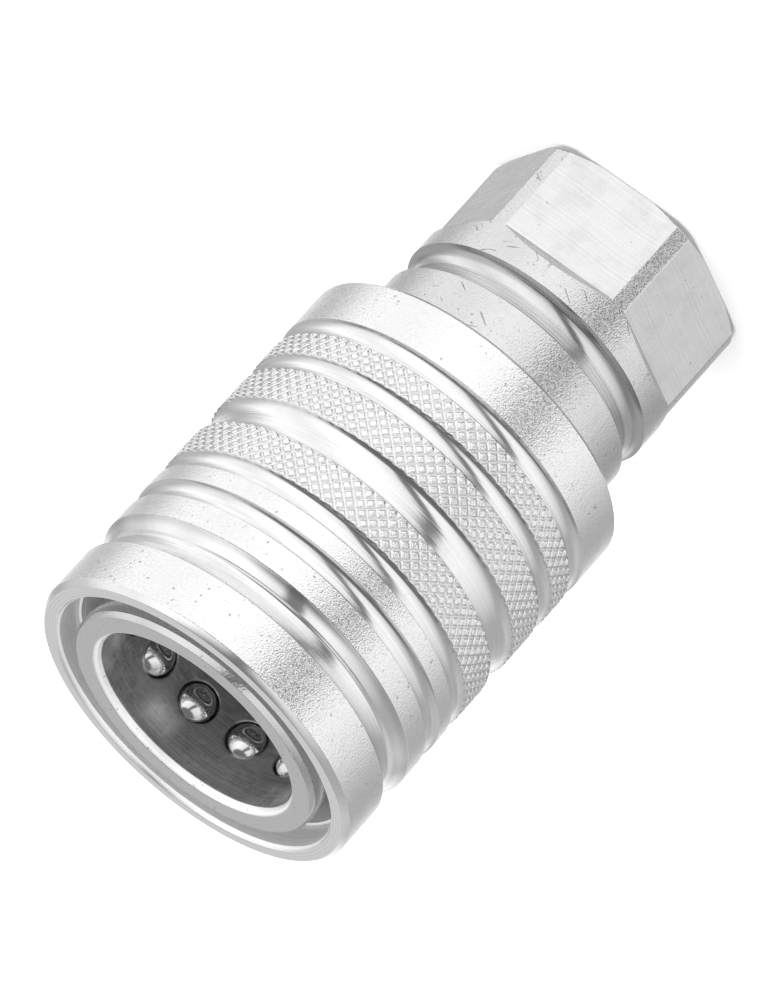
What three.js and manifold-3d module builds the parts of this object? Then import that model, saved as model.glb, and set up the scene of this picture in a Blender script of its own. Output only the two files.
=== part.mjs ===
// Female half of a flat-bodied hydraulic quick disconnect coupler, half-inch size.
// Millimetres, +Z up along the flow axis, origin at the centre of the threaded port's end face.
// The mouth that takes the male nipple faces up. Stations along the axis are given as depths
// behind the mouth face, as on a workshop drawing of such a coupler.

import * as THREE from "three";
import { mergeVertices } from "three/addons/utils/BufferGeometryUtils.js";
import Module from "manifold-3d";

const wasm = await Module();
wasm.setup();

// ---------------------------------------------------------------- driving dimensions

const LENGTH = 70; // port face to mouth face
const FACETS = 36; // sides of a turned surface
const SMALL_FACETS = 24; // sides of a small turned surface
const HOLE_FACETS = 12; // sides of a small hole
const BALL_RINGS = 6; // rows of faces from a ball's top to its foot

const BORE_RADIUS = 12.05; // clears the nipple's 23.7 mm collar
const BODY_RADIUS = 15; // socket body's nose
const SPRING_SEAT_RADIUS = 13.6; // socket body under the sleeve spring
const THREAD_RADIUS = 13.3; // socket body where it screws into the rear body
const NOSE_BORE_RADIUS = 10.4; // clears the nipple's 20.5 mm probe
const CHAMBER_RADIUS = 11.5; // valve chamber behind the seat
const SEAT_RADIUS = 8.3; // throat of the valve seat
const SEAT_DEPTH = 26.4; // where the throat opens into the 45-degree seat

const SLEEVE_RADIUS = 19.25;
const SLEEVE_LENGTH = 44.4;
const SLEEVE_TRAVEL = 6; // pull-back that frees the balls
const SPRING_ROOM_RADIUS = 17.3; // inside of the sleeve around its spring
const MOUTH_RELIEF_RADIUS = 17.1; // front counterbore that the freed balls move into
const MOUTH_RELIEF_DEPTH = 3.35;
const LAND_RADIUS = 15.9; // locking land that holds the balls in
const HAND_GROOVE = { front: 6.02, rear: 10.17, cut: 1.4 }; // wide round groove behind the front band
const GROOVES = [
  { front: 12.92, rear: 15.22, cut: 0.8 },
  { front: 17.22, rear: 19.48, cut: 0.8 }, // first knurl starts behind this one
  { front: 23.56, rear: 27.33, cut: 1 },
  { front: 31.45, rear: 33.67, cut: 0.8 },
  { front: 36.54, rear: 38.76, cut: 0.8 }, // third knurl ends in front of this one
];

const BALL_COUNT = 12;
const BALL_TURN = 9.4; // degrees from +X to the first ball
const BALL_RADIUS = 2.38; // 3/16 inch ball
const BALL_DEPTH = 7.3;
const BALL_CENTRE_RADIUS = 13.385; // locked: each ball stands 1.05 mm into the bore
const BALL_TRAVEL = 1.115; // outwards, as the sleeve comes fully back

const COLLAR_RADIUS = 15.1; // turned diameter of the rear body and of the hexagon's corners
const HEX_APOTHEM = 13.5; // 27 mm across flats
const HEX_LENGTH = 11.5;
const RUN_OUT_SLOPE = 1.1; // rise per millimetre where a flat runs out into the collar
const HEX_TURN = 30; // degrees from +X to the first flat, so that one flat faces -Y
const PORT_RADIUS = 9.32; // minor radius of the half-inch pipe thread

const AXIAL_GAP = 0.1; // between faces that press on each other
const WASHER_DEPTH = 10.7; // front face of the thrust washer
const WASHER_THICKNESS = 1.3;
const WASHER_RADII = [13.8, 17.05];
const GUIDE_RING_DEPTH = 40.6; // front face of the ring that guides the sleeve's open end
const GUIDE_RING_THICKNESS = 2;
const GUIDE_RING_RADII = [15.3, 17.1];
const SNAP_RING_DEPTH = 42.75; // front face of the circlip behind the guide ring
const SNAP_RING_THICKNESS = 0.65;
const FLANGE_DEPTH = 37.4; // front face of the rear body, where the sleeve spring stands
const GUIDE_DEPTH = 46.1; // front face of the valve guide's rim
const SEAL_GROOVE_DEPTH = 18.2; // front wall of the nipple seal's groove
const BODY_SEAL_DEPTH = 43.35; // middle of the static seal between the two bodies

const SLEEVE_SPRING = { mean: 15.45, wire: 0.85, turns: 6.5 };
const POPPET_SPRING = { mean: 6.6, wire: 0.6, turns: 5.5, front: 31.5 };
const WIRE_FACETS = 6; // sides of a spring's wire
const COIL_STEPS = 12; // straight lengths in one turn of a spring
const CLOSED_TURN_PITCH = 2.05; // rise of a closed end turn, as a multiple of the wire's radius

const PROBE_SEAL = { centre: 11.1, section: 1.15, offset: 1.3 }; // O-ring that seals on the nipple
const BACKUP_RING = { radii: [10.35, 12.2], offset: 2.6, thickness: 0.7 }; // behind that O-ring
const BODY_SEAL = { centre: 12.8, section: 0.62 };

// ---------------------------------------------------------------- materials

const steel = (color, roughness) =>
  new THREE.MeshStandardMaterial({ color, roughness, metalness: 1 });
const polymer = (color, roughness) =>
  new THREE.MeshStandardMaterial({ color, roughness, metalness: 0 });

const zincPlate = steel(0xdcdcda, 0.32);
const boreSteel = steel(0xb4b4b2, 0.3);
const ballSteel = steel(0xc6c6c8, 0.08);
const springSteel = steel(0x9a9a98, 0.35);
const nitrile = polymer(0x1b1b1c, 0.6);
const ptfe = polymer(0xeeeeea, 0.45);

// ---------------------------------------------------------------- shape helpers

const radians = THREE.MathUtils.degToRad;
const heightAt = (depth) => LENGTH - depth;

// Revolves a closed outline of [radius, depth] points about the flow axis.
function turned(outline, facets = FACETS) {
  const points = outline.map(([r, depth]) => new THREE.Vector2(r, heightAt(depth)));
  const onAxis = points[0].x === 0;
  if (!onAxis) points.push(points[0].clone());
  const loop = onAxis ? [...points, points[0]] : points;
  const area = loop.slice(1).reduce((sum, p, i) => sum + loop[i].cross(p), 0);
  if (area < 0) points.reverse();
  return new THREE.LatheGeometry(points, facets).rotateX(Math.PI / 2);
}

// Points of an arc in the outline's plane: centre, radius, and the angle from the radial direction
// towards the port, in degrees.
function arc([r, depth], radius, from, to, steps) {
  return Array.from({ length: steps + 1 }, (_, i) => {
    const angle = radians(from + ((to - from) * i) / steps);
    return [r + radius * Math.cos(angle), depth + radius * Math.sin(angle)];
  });
}

// A groove turned into the sleeve between two depths: a steep front wall and a sloping rear one.
function slopedGroove({ front, rear, cut: depthOfCut }) {
  const floor = SLEEVE_RADIUS - depthOfCut;
  const frontWall = 0.35 * depthOfCut;
  const knee = 0.3 * depthOfCut; // where the rear slope steepens
  return [
    [SLEEVE_RADIUS, front],
    [floor, front + frontWall],
    [floor, rear - depthOfCut],
    [SLEEVE_RADIUS - knee, rear - knee],
    [SLEEVE_RADIUS, rear],
  ];
}

// A groove turned by a round-nosed tool, as one arc of the given depth between two depths.
function roundGroove({ front, rear, cut: depthOfCut }) {
  const steps = 4;
  const half = (rear - front) / 2;
  const radius = (half * half + depthOfCut * depthOfCut) / (2 * depthOfCut);
  const sweep = THREE.MathUtils.radToDeg(Math.asin(half / radius));
  const centre = [SLEEVE_RADIUS + radius - depthOfCut, front + half];
  return arc(centre, radius, 180 + sweep, 180 - sweep, steps);
}

function toSolid(geometry) {
  const bare = geometry.index ? geometry.toNonIndexed() : geometry.clone();
  bare.deleteAttribute("normal");
  bare.deleteAttribute("uv");
  const merged = mergeVertices(bare, 1e-4);
  return new wasm.Manifold(
    new wasm.Mesh({
      numProp: 3,
      vertProperties: merged.attributes.position.array,
      triVerts: new Uint32Array(merged.index.array),
    }),
  );
}

function toGeometry(solid) {
  const mesh = solid.getMesh();
  return new THREE.BufferGeometry()
    .setAttribute("position", new THREE.BufferAttribute(mesh.vertProperties, 3))
    .setIndex(new THREE.BufferAttribute(mesh.triVerts, 1));
}

// Cuts the tools, geometries already in place, out of a geometry.
const cut = (geometry, tools) =>
  toGeometry(tools.reduce((solid, tool) => solid.subtract(toSolid(tool)), toSolid(geometry)));

const join = (geometries) =>
  toGeometry(geometries.map(toSolid).reduce((whole, piece) => whole.add(piece)));

// A copy of a geometry turned about the flow axis.
const spun = (geometry, degrees) => geometry.clone().rotateZ(radians(degrees));

const spread = (count, first = 0) =>
  Array.from({ length: count }, (_, i) => first + (360 * i) / count);

// A plain ring of rectangular section.
const ring = ([inner, outer], front, thickness, facets = SMALL_FACETS) =>
  turned(
    [
      [inner, front],
      [outer, front],
      [outer, front + thickness],
      [inner, front + thickness],
    ],
    facets,
  );

// An O-ring of six-sided section.
const oRing = ({ centre, section }, depth) =>
  turned(arc([centre, depth], section, 0, 300, 5), SMALL_FACETS);

// A compression spring between two depths; its ends are closed turns that lie flat.
function spring({ mean, wire, turns }, front, rear) {
  const closedTurns = 1;
  const closedRise = closedTurns * CLOSED_TURN_PITCH * wire;
  const openTurns = turns - 2 * closedTurns;
  const openRise = rear - front - 2 * wire - 2 * closedRise;
  const climb = (turn) => {
    const first = Math.min(turn, closedTurns) / closedTurns;
    const open = Math.min(Math.max(turn - closedTurns, 0), openTurns) / openTurns;
    const last = Math.max(turn - closedTurns - openTurns, 0) / closedTurns;
    return (first + last) * closedRise + open * openRise;
  };
  class Coil extends THREE.Curve {
    getPoint(t, target = new THREE.Vector3()) {
      const angle = 2 * Math.PI * turns * t;
      const z = heightAt(rear - wire) + climb(turns * t);
      return target.set(mean * Math.cos(angle), mean * Math.sin(angle), z);
    }
  }
  const section = new THREE.Shape();
  spread(WIRE_FACETS).forEach((degrees, i) => {
    const x = wire * Math.cos(radians(degrees));
    const y = wire * Math.sin(radians(degrees));
    if (i === 0) section.moveTo(x, y);
    else section.lineTo(x, y);
  });
  const steps = Math.round(turns * COIL_STEPS);
  return new THREE.ExtrudeGeometry(section, { steps, extrudePath: new Coil(), bevelEnabled: false });
}

const assembly = new THREE.Group();

function addPart(name, geometry, material, parent = assembly) {
  const mesh = new THREE.Mesh(geometry, material);
  mesh.name = name;
  parent.add(mesh);
  return mesh;
}

// ---------------------------------------------------------------- socket body

// One ball hole, cut from outside: straight, then a taper that keeps the ball from falling in.
function ballHole() {
  const clearance = 0.12;
  const clearRadius = BALL_RADIUS + clearance;
  const lipRadius = 2.15;
  const taper = 1.05;
  const beyond = 2; // overrun of the cutter past each surface
  const outline = [
    [0, BORE_RADIUS - beyond],
    [lipRadius, BORE_RADIUS - beyond],
    [lipRadius, BORE_RADIUS],
    [clearRadius, BORE_RADIUS + taper],
    [clearRadius, BODY_RADIUS + beyond],
    [0, BODY_RADIUS + beyond],
  ].map(([r, y]) => new THREE.Vector2(r, y));
  const geometry = new THREE.LatheGeometry(outline, HOLE_FACETS).rotateZ(-Math.PI / 2);
  return geometry.translate(0, 0, heightAt(BALL_DEPTH));
}

function socketBody() {
  const chamfer = 0.5;
  const nosePart = 10.6; // length of the full-diameter nose
  const shoulder = 14.4; // where the bore starts to narrow
  const noseBore = 15.9;
  const grooveRadius = 12.35;
  const grooveWidth = 3.4;
  const throat = 24.6;
  const seatEnd = SEAT_DEPTH + CHAMBER_RADIUS - SEAT_RADIUS;
  const rearChamberRadius = 10.9;
  const rearChamber = 40;
  const sealGroove = 1.9; // width of the groove for the static seal between the two bodies
  const sealFront = BODY_SEAL_DEPTH - sealGroove / 2;
  const sealRear = BODY_SEAL_DEPTH + sealGroove / 2;
  const sealFloor = 12.1;
  const end = 46;
  const blank = turned([
    [BODY_RADIUS - chamfer, 0],
    [BODY_RADIUS, chamfer],
    [BODY_RADIUS, nosePart],
    [SPRING_SEAT_RADIUS, nosePart],
    [SPRING_SEAT_RADIUS, FLANGE_DEPTH - 3 * AXIAL_GAP],
    [THREAD_RADIUS, FLANGE_DEPTH - 3 * AXIAL_GAP],
    [THREAD_RADIUS, sealFront],
    [sealFloor, sealFront],
    [sealFloor, sealRear],
    [THREAD_RADIUS, sealRear],
    [THREAD_RADIUS, end],
    [rearChamberRadius, end],
    [rearChamberRadius, rearChamber],
    [CHAMBER_RADIUS, rearChamber - (CHAMBER_RADIUS - rearChamberRadius)],
    [CHAMBER_RADIUS, seatEnd],
    [SEAT_RADIUS, SEAT_DEPTH],
    [SEAT_RADIUS, throat],
    [NOSE_BORE_RADIUS, throat],
    [NOSE_BORE_RADIUS, SEAL_GROOVE_DEPTH + grooveWidth],
    [grooveRadius, SEAL_GROOVE_DEPTH + grooveWidth],
    [grooveRadius, SEAL_GROOVE_DEPTH],
    [NOSE_BORE_RADIUS, SEAL_GROOVE_DEPTH],
    [NOSE_BORE_RADIUS, noseBore],
    [BORE_RADIUS, shoulder],
    [BORE_RADIUS, chamfer],
    [BORE_RADIUS + chamfer, 0],
  ]);
  const hole = ballHole();
  return cut(
    blank,
    spread(BALL_COUNT, BALL_TURN).map((degrees) => spun(hole, degrees)),
  );
}

// ---------------------------------------------------------------- rear body

// The cutter for one hexagon flat: it runs out towards the collar on a slope.
function flatCutter() {
  const overrun = 3;
  const outer = COLLAR_RADIUS + overrun;
  const shape = new THREE.Shape([
    new THREE.Vector2(HEX_APOTHEM, -overrun),
    new THREE.Vector2(outer, -overrun),
    new THREE.Vector2(outer, HEX_LENGTH + (outer - HEX_APOTHEM) / RUN_OUT_SLOPE),
    new THREE.Vector2(HEX_APOTHEM, HEX_LENGTH),
  ]);
  const width = 2 * COLLAR_RADIUS;
  return new THREE.ExtrudeGeometry(shape, { depth: width, bevelEnabled: false })
    .translate(0, 0, -width / 2)
    .rotateX(Math.PI / 2);
}

function rearBody() {
  const flangeRadius = 17.1;
  const flangeEnd = 40.4;
  const cylinderEnd = 50.8;
  const grooveTop = [14.4, 50.95]; // groove that a dust cap's loop sits in
  const grooveFloor = [13.9, 53];
  const collarStart = 54.6;
  const filletRadius = 1.2;
  const filletCentre = [grooveFloor[0] + filletRadius, collarStart - filletRadius];
  const endChamfer = 1.4; // radial, at 30 degrees
  const socketRadius = 13.5;
  const socketEnd = 48.1;
  const passageRadius = 9;
  const reliefRadius = 10.6;
  const reliefStart = 52.5;
  const threadStart = 55;
  const threadRunOut = 0.6;
  const blank = turned([
    [flangeRadius, FLANGE_DEPTH],
    [flangeRadius, flangeEnd],
    [COLLAR_RADIUS, flangeEnd],
    [COLLAR_RADIUS, cylinderEnd],
    grooveTop,
    grooveFloor,
    ...arc(filletCentre, filletRadius, 150, 90, 2),
    [COLLAR_RADIUS, collarStart],
    [COLLAR_RADIUS, LENGTH - endChamfer * Math.tan(radians(30))],
    [COLLAR_RADIUS - endChamfer, LENGTH],
    [reliefRadius, LENGTH],
    [PORT_RADIUS, LENGTH - (reliefRadius - PORT_RADIUS)],
    [PORT_RADIUS, threadStart],
    [reliefRadius, threadStart - threadRunOut],
    [reliefRadius, reliefStart],
    [passageRadius, reliefStart],
    [passageRadius, socketEnd],
    [socketRadius, socketEnd],
    [socketRadius, FLANGE_DEPTH],
  ]);
  const cutter = flatCutter();
  return cut(
    blank,
    spread(6, HEX_TURN).map((degrees) => spun(cutter, degrees)),
  );
}

// ---------------------------------------------------------------- sleeve and what rides in it

function sleeve() {
  const frontChamfer = 0.6;
  const rearChamfer = 0.4;
  const mouthChamfer = 0.45;
  const snapGrooveRadius = 17.9;
  const snapGrooveFront = SNAP_RING_DEPTH - AXIAL_GAP;
  const snapGrooveRear = SNAP_RING_DEPTH + SNAP_RING_THICKNESS + AXIAL_GAP;
  const shoulder = WASHER_DEPTH - AXIAL_GAP;
  const coneSlope = BALL_TRAVEL / SLEEVE_TRAVEL; // lets the balls out at the rate they are coupled
  const coneEndRadius = LAND_RADIUS + coneSlope * (BALL_DEPTH - MOUTH_RELIEF_DEPTH);
  return turned([
    [SLEEVE_RADIUS - frontChamfer, 0],
    [SLEEVE_RADIUS, frontChamfer],
    ...roundGroove(HAND_GROOVE),
    ...GROOVES.flatMap(slopedGroove),
    [SLEEVE_RADIUS, SLEEVE_LENGTH - rearChamfer],
    [SLEEVE_RADIUS - rearChamfer, SLEEVE_LENGTH],
    [SPRING_ROOM_RADIUS, SLEEVE_LENGTH],
    [SPRING_ROOM_RADIUS, snapGrooveRear],
    [snapGrooveRadius, snapGrooveRear],
    [snapGrooveRadius, snapGrooveFront],
    [SPRING_ROOM_RADIUS, snapGrooveFront],
    [SPRING_ROOM_RADIUS, shoulder],
    [LAND_RADIUS, shoulder],
    [LAND_RADIUS, BALL_DEPTH],
    [coneEndRadius, MOUTH_RELIEF_DEPTH],
    [MOUTH_RELIEF_RADIUS, MOUTH_RELIEF_DEPTH],
    [MOUTH_RELIEF_RADIUS, mouthChamfer],
    [MOUTH_RELIEF_RADIUS + mouthChamfer, 0],
  ]);
}

// An internal circlip: an open ring with a lug and a pliers hole at each end.
function snapRing() {
  const inner = 16.3;
  const outer = 17.8;
  const thickness = SNAP_RING_THICKNESS;
  const halfGap = 14; // degrees
  const lugRadius = 1;
  const lugCentre = 16.5;
  const lugHoleRadius = 0.45;
  const arcShape = new THREE.Shape();
  const from = radians(halfGap);
  const to = 2 * Math.PI - from;
  arcShape.absarc(0, 0, outer, from, to, false);
  arcShape.absarc(0, 0, inner, to, from, true);
  const flat = { depth: thickness, bevelEnabled: false, curveSegments: FACETS };
  const openRing = new THREE.ExtrudeGeometry(arcShape, flat);
  const disc = (radius, height) =>
    new THREE.CylinderGeometry(radius, radius, height, HOLE_FACETS).rotateX(Math.PI / 2);
  const lug = disc(lugRadius, thickness);
  const hole = disc(lugHoleRadius, 3 * thickness);
  const lugTurn = halfGap + 1;
  const place = (geometry, side) =>
    spun(geometry.clone().translate(lugCentre, 0, thickness / 2), side * lugTurn);
  const whole = join([openRing, place(lug, 1), place(lug, -1)]);
  return cut(whole, [place(hole, 1), place(hole, -1)]).translate(
    0,
    0,
    heightAt(SNAP_RING_DEPTH + thickness),
  );
}

// ---------------------------------------------------------------- valve

const POPPET_STUD_RADIUS = 3;
const POPPET_STUD_DEPTH = 24.5; // front end of the stud that the nose screws onto
const POPPET_HEAD_DEPTH = 29.2;

function poppet() {
  const headRadius = 10.6;
  const headEnd = 31.4;
  const bossRadius = 5.5;
  const bossEnd = 33;
  const stemRadius = 2;
  const stemEnd = 48.6;
  const headChamfer = 0.2;
  const bossTaper = 0.4;
  const stemChamfer = 0.4;
  return turned(
    [
      [0, POPPET_STUD_DEPTH],
      [POPPET_STUD_RADIUS, POPPET_STUD_DEPTH],
      [POPPET_STUD_RADIUS, POPPET_HEAD_DEPTH],
      [headRadius - headChamfer, POPPET_HEAD_DEPTH],
      [headRadius, POPPET_HEAD_DEPTH + headChamfer],
      [headRadius, headEnd],
      [bossRadius, headEnd],
      [bossRadius - bossTaper, bossEnd],
      [stemRadius, bossEnd],
      [stemRadius, stemEnd - stemChamfer],
      [stemRadius - stemChamfer, stemEnd],
      [0, stemEnd],
    ],
    SMALL_FACETS,
  );
}

// The rubber ring that closes on the seat: clamped between the poppet's head and its nose.
function poppetSeal() {
  const front = 27.5;
  const rear = POPPET_HEAD_DEPTH - AXIAL_GAP;
  const seatGap = 0.2;
  const coneEnd = rear - 0.5;
  const bore = POPPET_STUD_RADIUS + 0.2;
  const onCone = (depth) => [SEAT_RADIUS + depth - SEAT_DEPTH - seatGap, depth];
  return turned(
    [
      [bore, front],
      onCone(front),
      onCone(coneEnd),
      [onCone(coneEnd)[0], rear],
      [bore, rear],
    ],
    SMALL_FACETS,
  );
}

// The screwed nose that the nipple's own valve pushes on.
function poppetNose() {
  const tip = 20.5;
  const tipRadius = 3;
  const tipChamfer = 0.4;
  const rear = 27.4;
  const rearRadius = 8.8;
  const waist = 7.6; // just passes the throat of the seat
  const waistFront = 25.2;
  const waistRear = 26.2;
  const bore = POPPET_STUD_RADIUS + 0.15;
  const boreEnd = POPPET_STUD_DEPTH - 0.2;
  const filletRadius = 3.6;
  const filletCentre = [tipRadius + filletRadius, tip + 1.1];
  return turned(
    [
      [0, tip],
      [tipRadius - tipChamfer, tip],
      [tipRadius, tip + tipChamfer],
      ...arc(filletCentre, filletRadius, 180, 100, 3),
      [waist, waistFront],
      [waist, waistRear],
      [rearRadius, rear],
      [bore, rear],
      [bore, boreEnd],
      [0, boreEnd],
    ],
    SMALL_FACETS,
  );
}

// A spider: a rim clamped between the two bodies, and three legs that carry the stem's bush.
function valveGuide() {
  const rimInner = 9.2;
  const rimOuter = 13.2;
  const thickness = 1.9;
  const hubRadius = 3.9;
  const hubBore = 2.2;
  const hubFront = 42.5;
  const hubRear = 49.2;
  const legWidth = 2.2;
  const overlap = 1; // of each leg with the rim
  const legLength = rimInner + overlap - hubBore;
  const overrun = 2;
  const legTurn = 90; // degrees from +X to the first of the three legs
  const rim = ring([rimInner, rimOuter], GUIDE_DEPTH, thickness);
  const hub = turned(
    [
      [0, hubFront],
      [hubRadius, hubFront],
      [hubRadius, hubRear],
      [0, hubRear],
    ],
    SMALL_FACETS,
  );
  const leg = new THREE.BoxGeometry(legLength, legWidth, thickness).translate(
    hubBore + legLength / 2,
    0,
    heightAt(GUIDE_DEPTH + thickness / 2),
  );
  const bore = turned(
    [
      [0, hubFront - overrun],
      [hubBore, hubFront - overrun],
      [hubBore, hubRear + overrun],
      [0, hubRear + overrun],
    ],
    SMALL_FACETS,
  );
  const legs = spread(3, legTurn).map((degrees) => spun(leg, degrees));
  return cut(join([rim, hub, ...legs]), [bore]);
}

// ---------------------------------------------------------------- assembly

addPart("socket_body", socketBody(), zincPlate);
addPart("rear_body", rearBody(), zincPlate);
addPart("probe_seal", oRing(PROBE_SEAL, SEAL_GROOVE_DEPTH + PROBE_SEAL.offset), nitrile);
addPart(
  "backup_ring",
  ring(BACKUP_RING.radii, SEAL_GROOVE_DEPTH + BACKUP_RING.offset, BACKUP_RING.thickness),
  ptfe,
);
addPart("body_seal", oRing(BODY_SEAL, BODY_SEAL_DEPTH), nitrile);
addPart("valve_guide", valveGuide(), boreSteel);

// Sleeve group: everything that comes back with the sleeve.
const sleeveGroup = new THREE.Group();
assembly.add(sleeveGroup);
addPart("sleeve", sleeve(), zincPlate, sleeveGroup);
addPart(
  "sleeve_guide_ring",
  ring(GUIDE_RING_RADII, GUIDE_RING_DEPTH, GUIDE_RING_THICKNESS, FACETS),
  zincPlate,
  sleeveGroup,
);
addPart("sleeve_snap_ring", snapRing(), springSteel, sleeveGroup);
addPart("thrust_washer", ring(WASHER_RADII, WASHER_DEPTH, WASHER_THICKNESS), zincPlate, sleeveGroup);

const sleeveSpringFront = WASHER_DEPTH + WASHER_THICKNESS + AXIAL_GAP;
const sleeveSpringRear = FLANGE_DEPTH - AXIAL_GAP;
addPart("sleeve_spring", spring(SLEEVE_SPRING, sleeveSpringFront, sleeveSpringRear), springSteel);

// Valve group: the poppet and what is clamped to it.
const valveGroup = new THREE.Group();
assembly.add(valveGroup);
addPart("poppet", poppet(), boreSteel, valveGroup);
addPart("poppet_seal", poppetSeal(), nitrile, valveGroup);
addPart("poppet_nose", poppetNose(), boreSteel, valveGroup);
const poppetSpringRear = GUIDE_DEPTH - AXIAL_GAP;
addPart("poppet_spring", spring(POPPET_SPRING, POPPET_SPRING.front, poppetSpringRear), springSteel);

// The locking balls, each in its own hole.
spread(BALL_COUNT, BALL_TURN).forEach((degrees, i) => {
  const ball = addPart(
    `ball_${String(i + 1).padStart(2, "0")}`,
    new THREE.SphereGeometry(BALL_RADIUS, 2 * BALL_RINGS, BALL_RINGS),
    ballSteel,
  );
  const angle = radians(degrees);
  ball.position.set(
    BALL_CENTRE_RADIUS * Math.cos(angle),
    BALL_CENTRE_RADIUS * Math.sin(angle),
    heightAt(BALL_DEPTH),
  );
});

export default assembly;
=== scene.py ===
import math

import bmesh
import bpy
import numpy as np
from mathutils import Matrix, Vector
from mathutils.geometry import tessellate_polygon


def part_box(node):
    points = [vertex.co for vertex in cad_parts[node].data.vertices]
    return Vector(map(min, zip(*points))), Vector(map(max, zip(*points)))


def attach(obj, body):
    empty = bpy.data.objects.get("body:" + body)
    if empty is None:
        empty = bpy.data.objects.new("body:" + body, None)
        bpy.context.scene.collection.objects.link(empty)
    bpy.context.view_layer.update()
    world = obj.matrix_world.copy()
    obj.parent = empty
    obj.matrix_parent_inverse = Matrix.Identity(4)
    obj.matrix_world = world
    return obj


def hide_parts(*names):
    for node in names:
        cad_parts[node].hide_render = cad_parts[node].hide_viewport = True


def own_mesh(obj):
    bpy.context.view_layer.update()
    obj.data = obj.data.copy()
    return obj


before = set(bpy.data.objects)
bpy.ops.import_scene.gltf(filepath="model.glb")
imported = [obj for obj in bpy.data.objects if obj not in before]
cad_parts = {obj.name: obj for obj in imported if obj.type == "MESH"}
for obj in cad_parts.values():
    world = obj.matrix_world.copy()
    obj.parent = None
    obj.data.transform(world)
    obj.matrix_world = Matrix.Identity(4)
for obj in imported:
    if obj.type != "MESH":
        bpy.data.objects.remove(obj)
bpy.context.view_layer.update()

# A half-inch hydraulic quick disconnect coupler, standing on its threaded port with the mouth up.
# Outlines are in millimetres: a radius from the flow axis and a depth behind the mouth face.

MM = 0.001

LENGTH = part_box("sleeve")[1].z / MM
SLEEVE_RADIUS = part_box("sleeve")[1].x / MM
SLEEVE_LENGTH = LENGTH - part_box("sleeve")[0].z / MM
BODY_RADIUS = 15.0
BORE_RADIUS = 12.05
COLLAR_RADIUS = 15.1
HEX_APOTHEM = 13.5
BALL_NAMES = sorted(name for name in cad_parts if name.startswith("ball_"))


def centre_of(node):
    """The middle of a node's box, in metres."""
    low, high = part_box(node)
    return (low + high) / 2


def new_object(name, data):
    """An object that is linked into the scene."""
    result = bpy.data.objects.new(name, data)
    bpy.context.collection.objects.link(result)
    return result


FIRST_BALL = centre_of(BALL_NAMES[0])
BALL_DEPTH = LENGTH - FIRST_BALL.z / MM
BALL_TURN = math.degrees(math.atan2(FIRST_BALL.y, FIRST_BALL.x))
BALL_RADIUS = 2.38
EPSILON = 1e-6


# ---------- camera

VIEW_AZIMUTH = -105.6  # direction from the coupler to the camera
VIEW_ELEVATION = 23.98
VIEW_ROLL = 48.13
VIEW_DISTANCE = 1.2063  # metres
AIM_DEPTH = 32.19  # the point aimed at, behind the mouth and beside the axis, in millimetres
AIM_OFFSET = 0.62
SENSOR = 36.0
LENS = 433.6
CLIP_END = 10


def add_camera():
    """Looks down at the mouth with the coupler lying diagonally across the picture."""
    azimuth, elevation, roll = np.radians((VIEW_AZIMUTH, VIEW_ELEVATION, VIEW_ROLL))
    towards = Vector((math.cos(azimuth), math.sin(azimuth), 0))
    sideways = Vector((math.sin(azimuth), -math.cos(azimuth), 0))
    down = Vector((0, 0, -1))
    ahead = math.sin(elevation) * down - math.cos(elevation) * towards
    along = math.cos(elevation) * down + math.sin(elevation) * towards
    right = math.cos(roll) * along + math.sin(roll) * sideways
    up = math.sin(roll) * along - math.cos(roll) * sideways
    target = Vector((0, 0, (LENGTH - AIM_DEPTH) * MM)) - AIM_OFFSET * MM * sideways
    camera = new_object("camera", bpy.data.cameras.new("camera"))
    matrix = np.eye(4)
    for column, axis in enumerate((right, up, -ahead)):
        matrix[:3, column] = axis
    matrix[:3, 3] = target - VIEW_DISTANCE * ahead
    camera.matrix_world = Matrix(matrix.tolist())
    camera.data.sensor_width = SENSOR
    camera.data.sensor_fit = "AUTO"
    camera.data.lens = LENS
    camera.data.clip_end = CLIP_END
    bpy.context.scene.camera = camera


add_camera()


# ---------- shader graphs


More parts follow.
